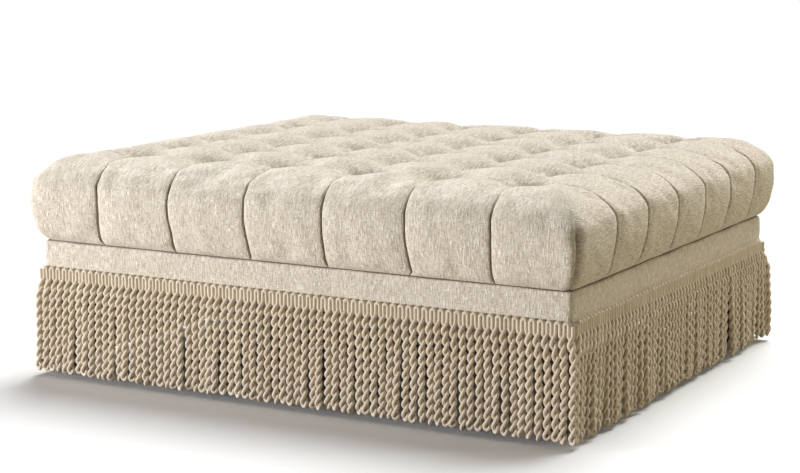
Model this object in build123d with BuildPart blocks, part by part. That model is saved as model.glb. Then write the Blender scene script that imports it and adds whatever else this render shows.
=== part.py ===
"""A square-tufted footstool: a buttoned cushion on a hardwood base, with a bullion fringe to the floor.

Millimetres. Z is up, the long side lies along X, and the front faces -Y. The origin is on the floor, under
the middle of the stool. The cushion has a six by six grid of buttons, so its top is seven by seven pillows,
and the creases run over the edge and down the sides as pleats. Inside are a foam slab on a plywood deck,
the button twine, and a frame of rails, stretchers, corner blocks and bolted legs, closed below by a dust
cover.
"""

import os
from math import sqrt

from build123d import *

# Overall sizes
band_width = 1180.0  # across the plain fabric band, left to right
band_depth = 1030.0  # across the band, front to back
total_height = 460.0  # floor to the crest of the pillows
seam_height = 284.0  # floor to the seam between the cushion and the band
waist_height = 384.0  # floor to the widest level of the cushion
side_bulge = 23.0  # how far the cushion stands out past the band
overrun = 10.0  # how far a cutting tool reaches past what it cuts

# Tufting
tuft_pitch_x = 175.0
tuft_pitch_y = 154.0
pillow_rise = 24.0  # crest of a pillow above the corner where four creases meet
pleat_pinch = 8.0  # how far a pleat is drawn in from the panels beside it
tuft_depth = 42.0  # crest of a pillow above the seat of a button
funnel_radius = 55.0  # pulled-down funnel round a button, at the level of the crest
button_radius = 12.0
button_height = 7.0
button_rim_height = 2.5
button_crown_radius = 6.0
button_gap = 1.0  # room round a button at the bottom of its funnel
twine_radius = 1.2
twine_gap = 0.3  # room round the twine in the pieces it passes
toggle_length = 26.0  # the bar under the deck that the twine is tied to
toggle_width = 7.0
toggle_thickness = 4.0

# Foam and deck
deck_thickness = 15.0
deck_inset = 12.0  # deck edge inside the band face
foam_inset = 16.0  # foam edge inside the band face
cover_under_button = 6.0  # cover and wadding pinched between a button and the foam

# Frame
band_thickness = 6.0  # fabric over its thin wadding
rail_thickness = 24.0
rail_height = 110.0
stretcher_thickness = 24.0
stretcher_height = 70.0
leg_width = 50.0
leg_foot_width = 38.0
leg_chamfer = 16.0  # cut off the inner corner, where the corner block bears
foot_bevel = 3.0
block_thickness = 26.0
block_height = 70.0
glide_radius = 14.0
glide_height = 6.0
glide_bevel = 2.0

# Fasteners
bolt_radius = 4.0
bolt_clearance = 0.5
bolt_in_leg = 28.0
bolt_head_width = 13.0  # across the flats
bolt_head_height = 5.5
screw_radius = 2.5
screw_head_radius = 5.0
screw_head_height = 3.0
screw_in_deck = 11.0
staple_crown = 11.0
staple_leg = 8.0
staple_wire = 1.2

# Dust cover
dust_thickness = 1.0
dust_inset = 8.0  # dust cover edge inside the rail face
dust_leg_gap = 3.0  # room round each leg
dust_staple_edge = 8.0  # staple centre from the dust cover edge
dust_staples_long = 5
dust_staples_short = 3

# Bullion fringe
heading_top = 231.0  # floor to the upper edge of the woven heading
heading_height = 26.0
heading_thickness = 11.0
heading_round = 3.0  # rounding of its upper front edge
fringe_floor_gap = 8.0
cord_top_radius = 6.5
cord_end_radius = 8.0
cord_top_standoff = 7.0  # cord axis outside the band face, under the heading
cord_end_standoff = 15.0  # and at its lower end, where the fringe flares out
cords_long = 72  # on the front and on the back, both corners included
cords_short = 61  # on each end, between the corner cords

# Counts of what repeats, and of the sides of small shapes
columns = 6
rows = 6
funnel_sides = 8
button_sides = 8
twine_sides = 4
cord_sides = 4
shank_sides = 6

# Sizes that follow from those above
cushion_width = band_width + 2 * side_bulge
cushion_depth = band_depth + 2 * side_bulge
pillow_radius = ((tuft_pitch_x**2 + tuft_pitch_y**2) / 4 + pillow_rise**2) / (2 * pillow_rise)
roll_radius = total_height - waist_height
button_seat = total_height - tuft_depth

deck_top = seam_height + deck_thickness
deck_width = band_width - 2 * deck_inset
deck_depth = band_depth - 2 * deck_inset
foam_top = button_seat - cover_under_button
foam_width = band_width - 2 * foam_inset
foam_depth = band_depth - 2 * foam_inset

frame_width = band_width - 2 * band_thickness
frame_depth = band_depth - 2 * band_thickness
rail_bottom = seam_height - rail_height
inner_width = frame_width - 2 * rail_thickness
inner_depth = frame_depth - 2 * rail_thickness
inner_corner = (inner_width / 2, inner_depth / 2)
block_reach = 2 * leg_width - leg_chamfer  # block face from the inner corner, measured along a rail
block_depth = block_thickness * sqrt(2)  # the block's thickness, measured along a rail
block_bottom = seam_height - block_height
bolt_length = block_thickness + bolt_in_leg
heading_bottom = heading_top - heading_height

last_column = columns // 2
last_row = rows // 2
tuft_grid = GridLocations(tuft_pitch_x, tuft_pitch_y, columns, rows)
tufts = [(place.position.X, place.position.Y) for place in tuft_grid.locations]
corner_sides = {
    "front_left": (-1, -1),
    "front_right": (1, -1),
    "back_left": (-1, 1),
    "back_right": (1, 1),
}


def at_corner(piece, side_x, side_y):
    """A piece made for the right back corner, turned or mirrored into another corner."""
    if side_x < 0 and side_y < 0:
        return piece.rotate(Axis.Z, 180)
    if side_x < 0:
        return mirror(piece, about=Plane.YZ)
    if side_y < 0:
        return mirror(piece, about=Plane.XZ)
    return piece


def write(piece, label):
    """Labels a finished piece and writes it as its own file."""
    piece.label = label
    export_step(piece, os.path.join("parts", label + ".step"))


def at_each(piece, places):
    """Copies of a piece, one for each place in plan."""
    return [piece.moved(Location((x, y, 0))) for x, y in places]


def at_corners(piece):
    """Copies of a piece made for the right back corner, one in every corner."""
    return [at_corner(piece, *sides) for sides in corner_sides.values()]


def panel_barrel(half_panel):
    """A solid turned on Z whose outline is the side of a cushion panel: drawn in at the seam, full at the
    waist and rolled over to the crest. Its girth pinches the panel at the two pleats beside it. Returns the
    solid, standing round the origin, and its largest radius."""
    girth = (half_panel**2 + pleat_pinch**2) / (2 * pleat_pinch)
    waist = (girth, waist_height)
    seam = (girth - side_bulge, seam_height)
    crest = (girth - roll_radius, total_height)
    with BuildPart() as barrel:
        with BuildSketch(Plane.XZ.rotated((0, 0, 180))):
            with BuildLine():
                TangentArc(waist, seam, tangent=(0, -1))
                TangentArc(waist, crest, tangent=(0, 1))
                Polyline(crest, (0, total_height), (0, seam_height), seam)
            make_face()
        revolve(axis=Axis.Z)
    return barrel.part, girth


def tuft_funnel():
    """The pulled-down funnel round a button at the origin, as a solid to cut away."""
    with BuildPart() as funnel:
        with BuildSketch(Plane.XY.offset(button_seat)):
            RegularPolygon(button_radius + button_gap, funnel_sides, rotation=180 / funnel_sides)
        with BuildSketch(Plane.XY.offset(total_height)):
            RegularPolygon(funnel_radius, funnel_sides, rotation=180 / funnel_sides)
        loft()
    return funnel.part


def pillow(column, row, funnel):
    """One cell of the cushion, from the seam up to its crown, cut by the funnels at its corners. Column and
    row count from the middle cell. A cell on the rim also takes the rolled and pinched shape of its side."""
    x, y = column * tuft_pitch_x, row * tuft_pitch_y
    spare_x = tuft_pitch_x if column == last_column else 0
    spare_y = tuft_pitch_y if row == last_row else 0
    with BuildPart() as cell:
        with BuildSketch(Plane.XY.offset(seam_height)):
            with Locations((x - tuft_pitch_x / 2, y - tuft_pitch_y / 2)):
                Rectangle(tuft_pitch_x + spare_x, tuft_pitch_y + spare_y, align=(Align.MIN, Align.MIN))
        extrude(amount=total_height - seam_height + overrun)
        with Locations((x, y, total_height - pillow_radius)):
            Sphere(pillow_radius, rotation=(90, 0, 0), mode=Mode.INTERSECT)
        if column == last_column:
            barrel, girth = panel_barrel(tuft_pitch_y / 2)
            add(barrel.moved(Location((cushion_width / 2 - girth, y, 0))), mode=Mode.INTERSECT)
        if row == last_row:
            barrel, girth = panel_barrel(tuft_pitch_x / 2)
            add(barrel.moved(Location((x, cushion_depth / 2 - girth, 0))), mode=Mode.INTERSECT)
        for tuft_x, tuft_y in tufts:
            if abs(tuft_x - x) < tuft_pitch_x and abs(tuft_y - y) < tuft_pitch_y:
                add(funnel.moved(Location((tuft_x, tuft_y, 0))), mode=Mode.SUBTRACT)
    return cell.part


def all_pillows():
    """Every cell of the cushion. The middle cell, one of the back row, one of the right column and the
    right back corner are made once, and the rest are their copies."""
    funnel = tuft_funnel()
    middle = pillow(0, 0, funnel)
    back = pillow(0, last_row, funnel)
    right = pillow(last_column, 0, funnel)
    corner = pillow(last_column, last_row, funnel)
    cells = at_corners(corner)
    for row in range(1 - last_row, last_row):
        shift = Location((0, row * tuft_pitch_y, 0))
        cells += [right.moved(shift), at_corner(right, -1, 1).moved(shift)]
    for column in range(1 - last_column, last_column):
        shift = Location((column * tuft_pitch_x, 0, 0))
        cells += [back.moved(shift), at_corner(back, 1, -1).moved(shift)]
        for row in range(1 - last_row, last_row):
            cells.append(middle.moved(Location((column * tuft_pitch_x, row * tuft_pitch_y, 0))))
    return cells


def twine_holes(bottom, top):
    """The holes for the button twine through whatever lies between two heights, as solids to cut away."""
    with BuildPart() as holes:
        with BuildSketch(Plane.XY.offset(bottom)):
            with Locations(*tufts):
                RegularPolygon(twine_radius + twine_gap, twine_sides)
        extrude(amount=top - bottom)
    return holes.part


def button_dome():
    """A covered button: a rim, then a crown. Its middle is on the Z axis."""
    with BuildPart() as button:
        with BuildSketch(Plane.XY.offset(button_seat)):
            RegularPolygon(button_radius, button_sides, rotation=180 / button_sides)
        extrude(amount=button_rim_height)
        with BuildSketch(Plane.XY.offset(button_seat + button_rim_height)):
            RegularPolygon(button_radius, button_sides, rotation=180 / button_sides)
        with BuildSketch(Plane.XY.offset(button_seat + button_height)):
            RegularPolygon(button_crown_radius, button_sides, rotation=180 / button_sides)
        loft()
    return button.part


def board(size_x, size_y, bottom, top):
    """A plain board between two heights, its middle on the Z axis."""
    with BuildPart() as plain:
        with BuildSketch(Plane.XY.offset(bottom)):
            Rectangle(size_x, size_y)
        extrude(amount=top - bottom)
    return plain.part


def band_panel(length):
    """A side of the band, for the front: fabric over thin wadding, mitred at both ends. Its outer face is
    in the plane Y = 0."""
    with BuildPart() as panel:
        with BuildSketch(Plane.XY.offset(rail_bottom)):
            with BuildLine():
                Polyline(
                    (-length / 2, 0),
                    (length / 2, 0),
                    (length / 2 - band_thickness, band_thickness),
                    (band_thickness - length / 2, band_thickness),
                    close=True,
                )
            make_face()
        extrude(amount=rail_height)
    return panel.part


def cord(share, length):
    """One cord of the fringe, hanging from the heading and flaring out a little. Its share is its place
    along the side, from -1 at the left end to 1 at the right."""
    with BuildPart() as strand:
        with BuildSketch(Plane.XY.offset(heading_bottom)):
            with Locations((share * (length / 2 + cord_top_standoff), -cord_top_standoff)):
                RegularPolygon(cord_top_radius, cord_sides)
        with BuildSketch(Plane.XY.offset(fringe_floor_gap)):
            with Locations((share * (length / 2 + cord_end_standoff), -cord_end_standoff)):
                RegularPolygon(cord_end_radius, cord_sides)
        loft()
    return strand.part


def fringe_side(length, cord_count, takes_corners):
    """The fringe of one side, for the front: a woven heading along X against the plane Y = 0, with its
    cords side by side below it. The length is that of the band face. The front and the back take the corner
    cords, and the two ends fit between them."""
    reach = length / 2 + heading_thickness if takes_corners else length / 2
    gap_count = cord_count - 1 if takes_corners else cord_count + 1
    first_share = -1 if takes_corners else 2 / gap_count - 1
    with BuildPart() as side:
        with BuildSketch(Plane.YZ.offset(-reach)):
            with Locations((-heading_thickness, heading_bottom)):
                Rectangle(heading_thickness, heading_height, align=(Align.MIN, Align.MIN))
        extrude(amount=2 * reach)
        fillet(side.edges().filter_by(Axis.X).group_by(Axis.Z)[-1].sort_by(Axis.Y)[0], heading_round)
        add([cord(first_share + 2 * index / gap_count, length) for index in range(cord_count)])
    return side.part


def staple():
    """A staple with its legs up and its crown along X, pressed against a board above the plane Z = 0."""
    half = staple_crown / 2
    inner = half - staple_wire
    with BuildPart() as bent_wire:
        with BuildSketch(Plane.XZ.offset(-staple_wire / 2)):
            with BuildLine():
                Polyline(
                    (-half, -staple_wire),
                    (half, -staple_wire),
                    (half, staple_leg),
                    (inner, staple_leg),
                    (inner, 0),
                    (-inner, 0),
                    (-inner, staple_leg),
                    (-half, staple_leg),
                    close=True,
                )
            make_face()
        extrude(amount=staple_wire)
    return bent_wire.part


def spread(count, length):
    """Places of a number of things, evenly spaced along a length centred on zero."""
    return [length * ((index + 1 / 2) / count - 1 / 2) for index in range(count)]


os.makedirs("parts", exist_ok=True)

# Foam slab that fills the cover, pierced for the twine
with BuildPart() as seat_foam:
    with BuildSketch(Plane.XY.offset(deck_top)):
        Rectangle(foam_width, foam_depth)
    extrude(amount=foam_top - deck_top)
    add(twine_holes(deck_top - overrun, foam_top + overrun), mode=Mode.SUBTRACT)
write(seat_foam.part, "seat_foam")

# Cover with its bonded wadding: pillows, funnels and pleats outside, and hollow for the foam and the deck
with BuildPart() as tufted_cover:
    add(all_pillows())
    with BuildSketch(Plane.XY.offset(seam_height - overrun)):
        Rectangle(deck_width, deck_depth)
    extrude(amount=deck_thickness + overrun, mode=Mode.SUBTRACT)
    with BuildSketch(Plane.XY.offset(deck_top)):
        Rectangle(foam_width, foam_depth)
    extrude(amount=foam_top - deck_top, mode=Mode.SUBTRACT)
    add(twine_holes(foam_top - overrun, button_seat + overrun), mode=Mode.SUBTRACT)
write(tufted_cover.part, "tufted_cover")

# Covered buttons, each a low dome at the bottom of its funnel
with BuildPart() as tuft_buttons:
    add(at_each(button_dome(), tufts))
write(tuft_buttons.part, "tuft_buttons")

# Twine from each button down to the underside of the deck
with BuildPart() as tufting_twine:
    with BuildSketch(Plane.XY.offset(seam_height)):
        with Locations(*tufts):
            RegularPolygon(twine_radius, twine_sides)
    extrude(amount=button_seat - seam_height)
write(tufting_twine.part, "tufting_twine")

# Toggle bars that the twine is tied to under the deck
with BuildPart() as twine_toggles:
    with BuildSketch(Plane.XY.offset(seam_height)):
        with Locations(*tufts):
            Rectangle(toggle_length, toggle_width)
    extrude(amount=-toggle_thickness)
write(twine_toggles.part, "twine_toggles")

# Leg with a tapered foot, its inner corner cut off for the block: made for the right back corner
with BuildPart() as leg_blank:
    with BuildSketch(Plane.XY.offset(rail_bottom)):
        with Locations(inner_corner):
            Rectangle(leg_width, leg_width, align=(Align.MAX, Align.MAX))
    extrude(amount=rail_height)
    chamfer(leg_blank.edges().filter_by(Axis.Z).sort_by(Axis((0, 0, 0), (1, 1, 0)))[0], leg_chamfer)
    with BuildSketch(Plane.XY.offset(rail_bottom)):
        with Locations(inner_corner):
            Rectangle(leg_width, leg_width, align=(Align.MAX, Align.MAX))
    with BuildSketch(Plane.XY.offset(glide_height)):
        with Locations(inner_corner):
            Rectangle(leg_foot_width, leg_foot_width, align=(Align.MAX, Align.MAX))
    loft()
    chamfer(leg_blank.faces().sort_by(Axis.Z)[0].edges(), foot_bevel)

# Corner block set across the corner behind the leg
corner_x, corner_y = inner_corner
with BuildPart() as block_blank:
    with BuildSketch(Plane.XY.offset(block_bottom)):
        with BuildLine():
            Polyline(
                (corner_x - block_reach, corner_y),
                (corner_x, corner_y - block_reach),
                (corner_x, corner_y - block_reach - block_depth),
                (corner_x - block_reach - block_depth, corner_y),
                close=True,
            )
        make_face()
    extrude(amount=block_height)

# Bolt through the block into the leg, along the diagonal of the corner
bolt_setback = (block_reach + block_depth) / 2
bolt_head_seat = Plane(
    origin=(corner_x - bolt_setback, corner_y - bolt_setback, seam_height - block_height / 2),
    x_dir=(0, 0, 1),
    z_dir=(1, 1, 0),
)
with BuildPart() as bolt:
    with BuildSketch(bolt_head_seat):
        RegularPolygon(bolt_head_width / 2, shank_sides, major_radius=False)
    extrude(amount=-bolt_head_height)
    with BuildSketch(bolt_head_seat):
        RegularPolygon(bolt_radius, shank_sides)
    extrude(amount=bolt_length)
with BuildPart() as bolt_passage:
    with BuildSketch(bolt_head_seat.offset(-overrun)):
        RegularPolygon(bolt_radius + bolt_clearance, shank_sides)
    extrude(amount=overrun + block_thickness)

# Screw up through one end of the block into the deck
screw_step = (block_reach + block_depth / 2) / 4
screw_place = (corner_x - screw_step, corner_y - 3 * screw_step)
with BuildPart() as screw:
    with BuildSketch(Plane.XY.offset(block_bottom)):
        with Locations(screw_place):
            RegularPolygon(screw_head_radius, shank_sides)
    extrude(amount=-screw_head_height)
    with BuildSketch(Plane.XY.offset(block_bottom)):
        with Locations(screw_place):
            RegularPolygon(screw_radius, shank_sides)
    extrude(amount=block_height + screw_in_deck)

# Glide under the foot
with BuildPart() as glide:
    with BuildSketch():
        with Locations((corner_x - leg_foot_width / 2, corner_y - leg_foot_width / 2)):
            Circle(glide_radius)
    extrude(amount=glide_height)
    chamfer(glide.faces().sort_by(Axis.Z)[0].edges(), glide_bevel)

# Legs, blocks and glides, each corner on its own
with BuildPart() as leg:
    add(leg_blank.part)
    add(bolt.part, mode=Mode.SUBTRACT)
with BuildPart() as corner_block:
    add(block_blank.part)
    add(bolt_passage.part, mode=Mode.SUBTRACT)
    add(screw.part, mode=Mode.SUBTRACT)
for corner_name, (side_x, side_y) in corner_sides.items():
    write(at_corner(leg.part, side_x, side_y), "leg_" + corner_name)
    write(at_corner(corner_block.part, side_x, side_y), "corner_block_" + corner_name)
    write(at_corner(glide.part, side_x, side_y), "glide_" + corner_name)

# Bolts and screws, each kind as one group
with BuildPart() as leg_bolts:
    add(at_corners(bolt.part))
write(leg_bolts.part, "leg_bolts")
with BuildPart() as deck_screws:
    add(at_corners(screw.part))
write(deck_screws.part, "deck_screws")

# Plywood deck that the cushion is built on, with a hole under every button
with BuildPart() as tufting_deck:
    with BuildSketch(Plane.XY.offset(seam_height)):
        Rectangle(deck_width, deck_depth)
    extrude(amount=deck_thickness)
    add(twine_holes(seam_height - overrun, deck_top + overrun), mode=Mode.SUBTRACT)
    add(deck_screws.part, mode=Mode.SUBTRACT)
write(tufting_deck.part, "tufting_deck")

# Staples through the edge of the dust cover into the rails
dust_width = frame_width - 2 * dust_inset
dust_depth = frame_depth - 2 * dust_inset
dust_notch = rail_thickness - dust_inset + leg_width + dust_leg_gap
staple_x = dust_width / 2 - dust_staple_edge
staple_y = dust_depth / 2 - dust_staple_edge
staple_up = staple().moved(Location((0, 0, rail_bottom - dust_thickness)))
staple_turned = staple_up.rotate(Axis.Z, 90)
long_places = [(x, side * staple_y) for x in spread(dust_staples_long, dust_width) for side in (-1, 1)]
short_places = [(side * staple_x, y) for y in spread(dust_staples_short, dust_depth) for side in (-1, 1)]
with BuildPart() as dust_staples:
    add(at_each(staple_up, long_places))
    add(at_each(staple_turned, short_places))
write(dust_staples.part, "dust_staples")

# Dust cover under the frame, cut away round the legs
with BuildPart() as dust_cover:
    with BuildSketch(Plane.XY.offset(rail_bottom)):
        Rectangle(dust_width, dust_depth)
        with GridLocations(dust_width, dust_depth, 2, 2):
            Rectangle(2 * dust_notch, 2 * dust_notch, mode=Mode.SUBTRACT)
    extrude(amount=-dust_thickness)
    add(dust_staples.part, mode=Mode.SUBTRACT)
write(dust_cover.part, "dust_cover")

# Rails: the front and the back run full width, and the two ends fit between them
rail_y = (frame_depth - rail_thickness) / 2
rail_x = (frame_width - rail_thickness) / 2
long_rail = board(frame_width, rail_thickness, rail_bottom, seam_height)
short_rail = board(rail_thickness, inner_depth, rail_bottom, seam_height)
rails = {
    "front_rail": long_rail.moved(Location((0, -rail_y, 0))),
    "back_rail": long_rail.moved(Location((0, rail_y, 0))),
    "left_rail": short_rail.moved(Location((-rail_x, 0, 0))),
    "right_rail": short_rail.moved(Location((rail_x, 0, 0))),
}
for rail_name, rail_board in rails.items():
    with BuildPart() as rail:
        add(rail_board)
        add(dust_staples.part, mode=Mode.SUBTRACT)
    write(rail.part, rail_name)

# Stretchers from front to back under the deck, midway between two columns of twine
stretcher = board(stretcher_thickness, inner_depth, seam_height - stretcher_height, seam_height)
write(stretcher.moved(Location((-tuft_pitch_x, 0, 0))), "left_stretcher")
write(stretcher.moved(Location((tuft_pitch_x, 0, 0))), "right_stretcher")

# Band and fringe, each of four sides
sides = {
    "front": (0, -band_depth / 2, band_width, cords_long, True),
    "right": (90, -band_width / 2, band_depth, cords_short, False),
    "back": (180, -band_depth / 2, band_width, cords_long, True),
    "left": (270, -band_width / 2, band_depth, cords_short, False),
}
for side_name, (turn, distance, length, cord_count, takes_corners) in sides.items():
    place = Location((0, distance, 0))
    write(band_panel(length).moved(place).rotate(Axis.Z, turn), "band_" + side_name)
    trimming = fringe_side(length, cord_count, takes_corners)
    write(trimming.moved(place).rotate(Axis.Z, turn), "fringe_" + side_name)
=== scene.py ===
"""The visible cloth, cords and finishes of a square-tufted footstool with a bullion fringe.

Metres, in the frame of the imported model: Z is up, the long side lies along X, and the front faces -Y. The
cushion is one grid of cloth: its top, and four sides that hang from the top's edge. The fringe of each side
is one strand that runs down and up through every cord and turns over in the heading between them.
"""

import math

import bpy
import numpy as np
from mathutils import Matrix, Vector


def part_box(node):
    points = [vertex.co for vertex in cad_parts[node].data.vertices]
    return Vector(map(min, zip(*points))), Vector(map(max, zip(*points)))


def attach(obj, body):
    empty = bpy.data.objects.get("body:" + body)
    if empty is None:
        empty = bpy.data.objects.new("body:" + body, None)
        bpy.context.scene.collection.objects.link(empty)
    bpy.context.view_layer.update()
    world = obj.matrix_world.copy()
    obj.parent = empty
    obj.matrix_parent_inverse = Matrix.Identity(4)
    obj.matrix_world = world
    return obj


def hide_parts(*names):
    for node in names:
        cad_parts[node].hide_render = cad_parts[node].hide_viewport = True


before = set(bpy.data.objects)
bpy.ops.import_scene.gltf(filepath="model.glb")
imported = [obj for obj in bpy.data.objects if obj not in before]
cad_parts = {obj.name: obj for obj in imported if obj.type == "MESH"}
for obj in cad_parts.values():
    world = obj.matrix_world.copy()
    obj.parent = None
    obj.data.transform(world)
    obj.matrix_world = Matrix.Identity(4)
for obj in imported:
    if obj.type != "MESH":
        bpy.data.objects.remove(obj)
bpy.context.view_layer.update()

# Sizes read from the frame
cover_low, cover_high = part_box("tufted_cover")
buttons_low, buttons_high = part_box("tuft_buttons")
band_low, band_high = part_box("band_front")
fringe_low, fringe_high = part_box("fringe_front")
_, dust_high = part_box("dust_cover")
HALF_WIDTH = cover_high.x
HALF_DEPTH = cover_high.y
SEAM = cover_low.z
BAND_HALF_WIDTH = band_high.x
BAND_HALF_DEPTH = -band_low.y
BAND_BOTTOM = band_low.z
FRINGE_TOP = fringe_high.z
FRINGE_FOOT = fringe_low.z
TINY = 1e-9  # keeps roots and divisions clear of zero

# Tufting. A pair named GROW or FADE says where a change starts and over which length it comes in.
COLUMNS = 6
ROWS = 6
BUTTON_RADIUS = 0.012
BUTTON_REACH = BUTTON_RADIUS * math.cos(math.pi / 8)
BUTTON_RISE = 0.0075
BUTTON_LIFT = 0.001  # above the seat of the button in the frame
BUTTON_TILT = 0.09
BUTTON_HEM = (0.8, 0.8, 1)  # its skirt is drawn in by this share
BUTTON_SKIRT = 0.003
BUTTON_SEED = 41
TUFT_X = np.linspace(buttons_low.x + BUTTON_REACH, buttons_high.x - BUTTON_REACH, COLUMNS)
TUFT_Y = np.linspace(buttons_low.y + BUTTON_REACH, buttons_high.y - BUTTON_REACH, ROWS)
VALLEY_DEPTH = 0.0085
VALLEY_MIDDLE = 0.50  # share of that depth left midway between two tufts
VALLEY_REACH = 0.032
VALLEY_CURVE = 1.7
VALLEY_SPREAD = 0.045  # how far from a tuft a valley keeps most of its depth
BOWL_DEPTH = 0.0340  # wide hollow round a tuft
BOWL_REACH = 0.043
BOWL_CURVE = 1.6
FUNNEL_DEPTH = 0.0085
FUNNEL_DEPTH_SHARES = (0.92, 1.06)
FUNNEL_REACH = 0.023
FUNNEL_REACH_SHARES = (0.94, 1.08)
FUNNEL_CURVE = 1.6
FOLD_DEPTH = 0.0042
FOLD_DEPTH_SHARES = (0.2, 0.6)
FOLD_REACH = 0.034
FOLD_WIDTH = 0.016
FOLD_COUNTS = (5, 7, 8)
FOLD_TWIST = 30  # radians that a fold turns for each metre from the tuft
TUFT_SEED = 11
RIM_GROW = (0.0, 0.05)  # valleys and bowls, from the widest level inwards
TOP_GROW = (0.12, 0.04)  # and from the sides upwards
VALLEY_FADE = (0.02, 0.06)  # valleys, from the outer tufts outwards
BOWL_OUTER_FADE = (0.006, 0.05)
BORDER_DROP = 0.0100  # how far the pillows along the rim lie below the inner ones
BORDER_REACH = 0.110
BORDER_PLEAT = 0.0022  # crease from an outer tuft to the edge
BORDER_FADE = 0.75  # share of a valley that is gone between the outer tufts and the edge
BOWL_FADE = 0.70  # and share of a bowl

# Outline of the cushion's sides, from the seam up: inset from the widest level, and height above the seam
SIDE_PROFILE = (
    (0.0300, -0.0012), (0.0240, 0.0020), (0.0172, 0.0090), (0.0120, 0.0200), (0.0085, 0.0340),
    (0.0045, 0.0510), (0.0012, 0.0700), (0.0000, 0.0950), (0.0012, 0.1190), (0.0080, 0.1330),
    (0.0190, 0.1450), (0.0340, 0.1538), (0.0520, 0.1627), (0.0740, 0.1682),
)
CURVE_POINTS = 24  # points worked out between two of these

# Corners and pleats. Heights are above the seam.
CORNER_RADIUS = 0.021
CORNER_TOP_SHARE = 0.75  # of that radius is left at the top's edge
CORNER_TIGHTENING = (0.10, 0.066)
CORNER_PUFF = 0.0022  # wadding that stands out at a corner
CORNER_PUFF_REACH = 0.06
CORNER_PUFF_GROW = (0.0, 0.03)
CORNER_ZONE = 0.095  # length of a side near a corner where the grid closes up
SMALLEST_RING = 1e-6
PLEAT_WIDTH = 0.013
PLEAT_DEPTH = 0.0026
PLEAT_SLIT = 0.0062
PLEAT_SLIT_HALF = {"front": 0.0012, "right": 0.0017, "back": 0.0014, "left": 0.0014}
PLEAT_FADE = (0.125, 0.040)
PLEAT_GROW = (0.0, 0.006)
PLEAT_LAP = {"front": -1, "right": 1, "back": 1, "left": -1}  # which edge of a pleat lies on top
PLEAT_LAP_STEP = 0.0014
PLEAT_LAP_REACH = 0.009
PLEAT_SHIFT = {"front": 0.0, "right": 0.023, "back": 0.004, "left": -0.006}
PLEAT_LEAN = 0.022
PLEAT_LEAN_HEIGHT = 0.12  # a pleat leans about its place at this height
PLEAT_SWAY = 0.0012
PLEAT_SWAY_LENGTH = 0.13
PLEAT_WANDER_REACH = 0.030
PLEAT_WANDER_FADE = (0.10, 0.065)
PLEAT_SEED = {"front": 22, "back": 23, "left": 24, "right": 25}
PANEL_BULGE = 0.0018
CREASE_SHADE_PEAK = 1.35  # painted shade in a pleat's slit, cut off at 1
CREASE_SHADE_SPREAD = 1.7  # its width as a share of half the slit
MITRE_DEPTH = 0.0050
MITRE_WIDTH = 0.016
MITRE_GROW = (0.0, 0.01)
MITRE_FADE = (0.12, 0.03)
# Painted shade along the mitre of each corner, and its width
MITRE_SHADE = 0.55
MITRE_SHADE_WIDTH = 0.004
NOTCH_HEIGHT = 0.112  # where the mitre is pinched
NOTCH_FADE = (NOTCH_HEIGHT, 0.012)
NOTCH_DEPTH = 0.009
NOTCH_RISE = 0.016
NOTCH_REACH = 0.017
CORNER_DROP = 0.0095  # how far the crown slopes down to a corner
NEAR_CORNER_DROP = 0.0085  # and how much more at the one that is trodden down
DROP_REACH = 0.060
DROP_GROW = (0.06, 0.09)

# Slow waves of loose cloth: height, wavelength, how many waves are summed, and seed
WAVE_SCATTER = (0.75, 1.35)  # shares of the wavelength that are drawn
LOOSE_WAVES = (0.0010, 0.085, 7, 31)
LOOSE_RIPPLES = (0.0005, 0.036, 9, 32)
LOOSE_GROW = (0.0, 0.02)
LOOSE_CENTRE = 0.05  # height above the seam that loose cloth lifts away from
LOOSE_HALF_HEIGHT = 1 / 6
BAND_RIPPLES = (0.0004, 0.05, 6, 51)
BAND_WAVES = (0.0005, 0.12, 5, 52)
BAND_EDGE_WAVES = (0.0006, 0.09, 5, 53)
LINING_WAVES = (0.0012, 0.16, 6, 61)

# Grid of the cushion
GRID_STEP = 0.0070
RING_STEP = 0.0052
FINE_OFFSETS = (0.0006, 0.0014, 0.0034, 0.0075)

# Cloth simulation of the cushion cover, on a wider grid
CLOTH_STEP = 0.0120
CLOTH_FRAMES = 20
CLOTH_SETTINGS = {
    "quality": 6,
    "mass": 0.25,
    "air_damping": 3.0,
    "tension_stiffness": 18.0,
    "compression_stiffness": 18.0,
    "shear_stiffness": 8.0,
    "bending_stiffness": 0.6,
    "shrink_min": -0.035,  # below zero: the cloth is cut too large by this share
    "use_pressure": True,
    "uniform_pressure_force": 0.7,
}
CLOTH_CAP = 0.0045  # how far a point may move
CLOTH_SMOOTHINGS = 3
HELD_REACH = 0.016  # cloth this near to a button stays where it is
HELD_CREASE = 0.9
HELD_SEAM = 0.004
HELD_CORNER = 0.010

# Band
BAND_STEP = 0.011
BAND_ROWS = 22
BAND_SEAM_GAP = 0.0025
BAND_PLAN_RADIUS = 0.009
BAND_EDGE_RADIUS = 0.0048
BAND_LIP_SHARE = 0.3  # how far down the rounded edge its inner side ends
BAND_THICKNESS = 0.006
BAND_PUFF = 0.0016
BAND_PUFF_MARGIN = 0.01
BAND_WAVE_STRETCH = (1, 1, 0.2)  # its waves stand tall
TURN_POINTS = 7
EDGE_POINTS = 5

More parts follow.
